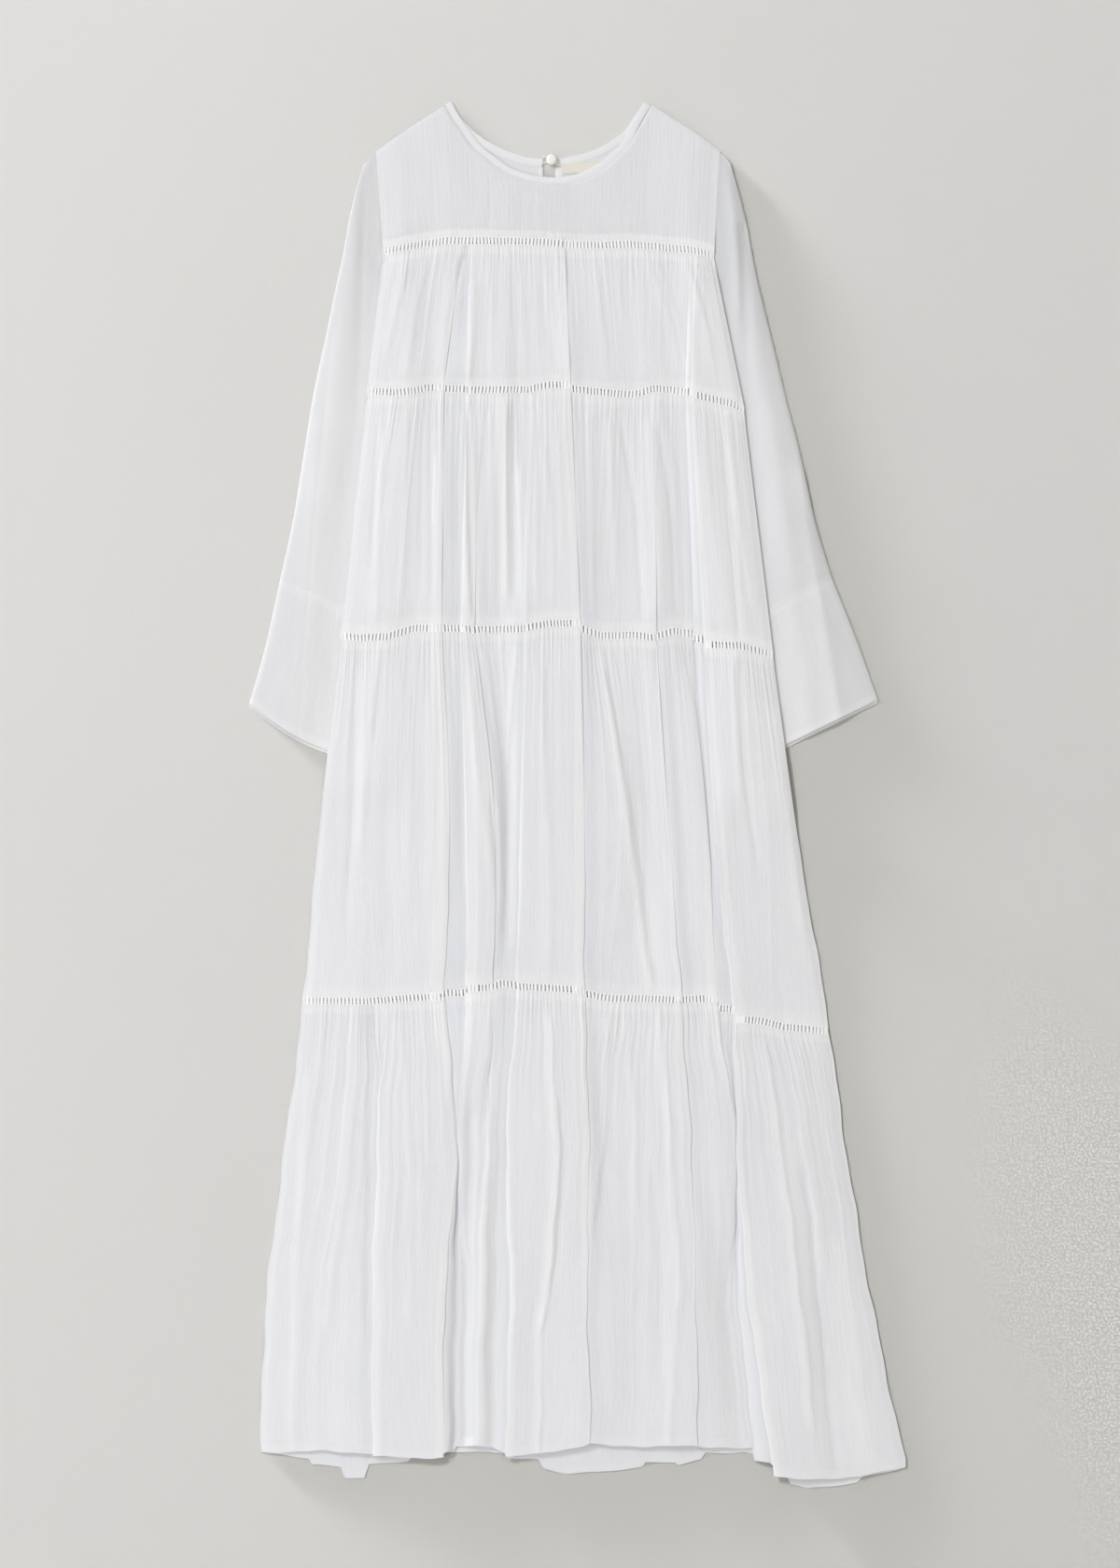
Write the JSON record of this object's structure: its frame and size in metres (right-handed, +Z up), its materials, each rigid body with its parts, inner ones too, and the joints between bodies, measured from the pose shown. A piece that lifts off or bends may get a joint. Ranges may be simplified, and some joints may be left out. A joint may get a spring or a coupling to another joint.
{
  "type": "tiered maxi dress",
  "caption": "Long tiered cotton dress laid flat, with a round bound neck, a back keyhole with a button and loop, bell sleeves with turned cuffs and openwork joins between gathered tiers.",
  "frame": {"origin": "middle of the bounding box at the height of the surface that the dress lies on", "axes": "+Y from the hem to the shoulders, +X towards the wearer's left side, +Z up out of the front of the dress as it lies on its back"},
  "size_m": [0.6818, 1.4426, 0.0106],
  "materials": {
    "voile": "matte semi-sheer white cotton voile with a soft crinkle",
    "insertion": "matte white openwork ladder braid",
    "binding": "matte white folded voile, four layers thick",
    "pearl": "glossy warm white pearl",
    "ribbon": "smooth cream woven ribbon"
  },
  "bodies": {
    "root": {"yoke_front": "voile", "yoke_back": "voile", "tier_1_front": "voile", "tier_1_back": "voile", "tier_2_front": "voile", "tier_2_back": "voile", "tier_3_front": "voile", "tier_3_back": "voile", "tier_4_front": "voile", "tier_4_back": "voile", "ladder_1_front": "insertion", "ladder_1_back": "insertion", "ladder_2_front": "insertion", "ladder_2_back": "insertion", "ladder_3_front": "insertion", "ladder_3_back": "insertion", "ladder_4_front": "insertion", "ladder_4_back": "insertion", "hem_front": "voile", "hem_back": "voile", "sleeve_left": "voile", "sleeve_right": "voile", "cuff_left": "voile", "cuff_right": "voile", "neck_binding_front": "binding", "neck_binding_back_left": "binding", "neck_binding_back_right": "binding", "keyhole_binding": "binding", "button": "pearl", "button_loop": "binding", "neck_label": "ribbon"}
  },
  "joints": []
}
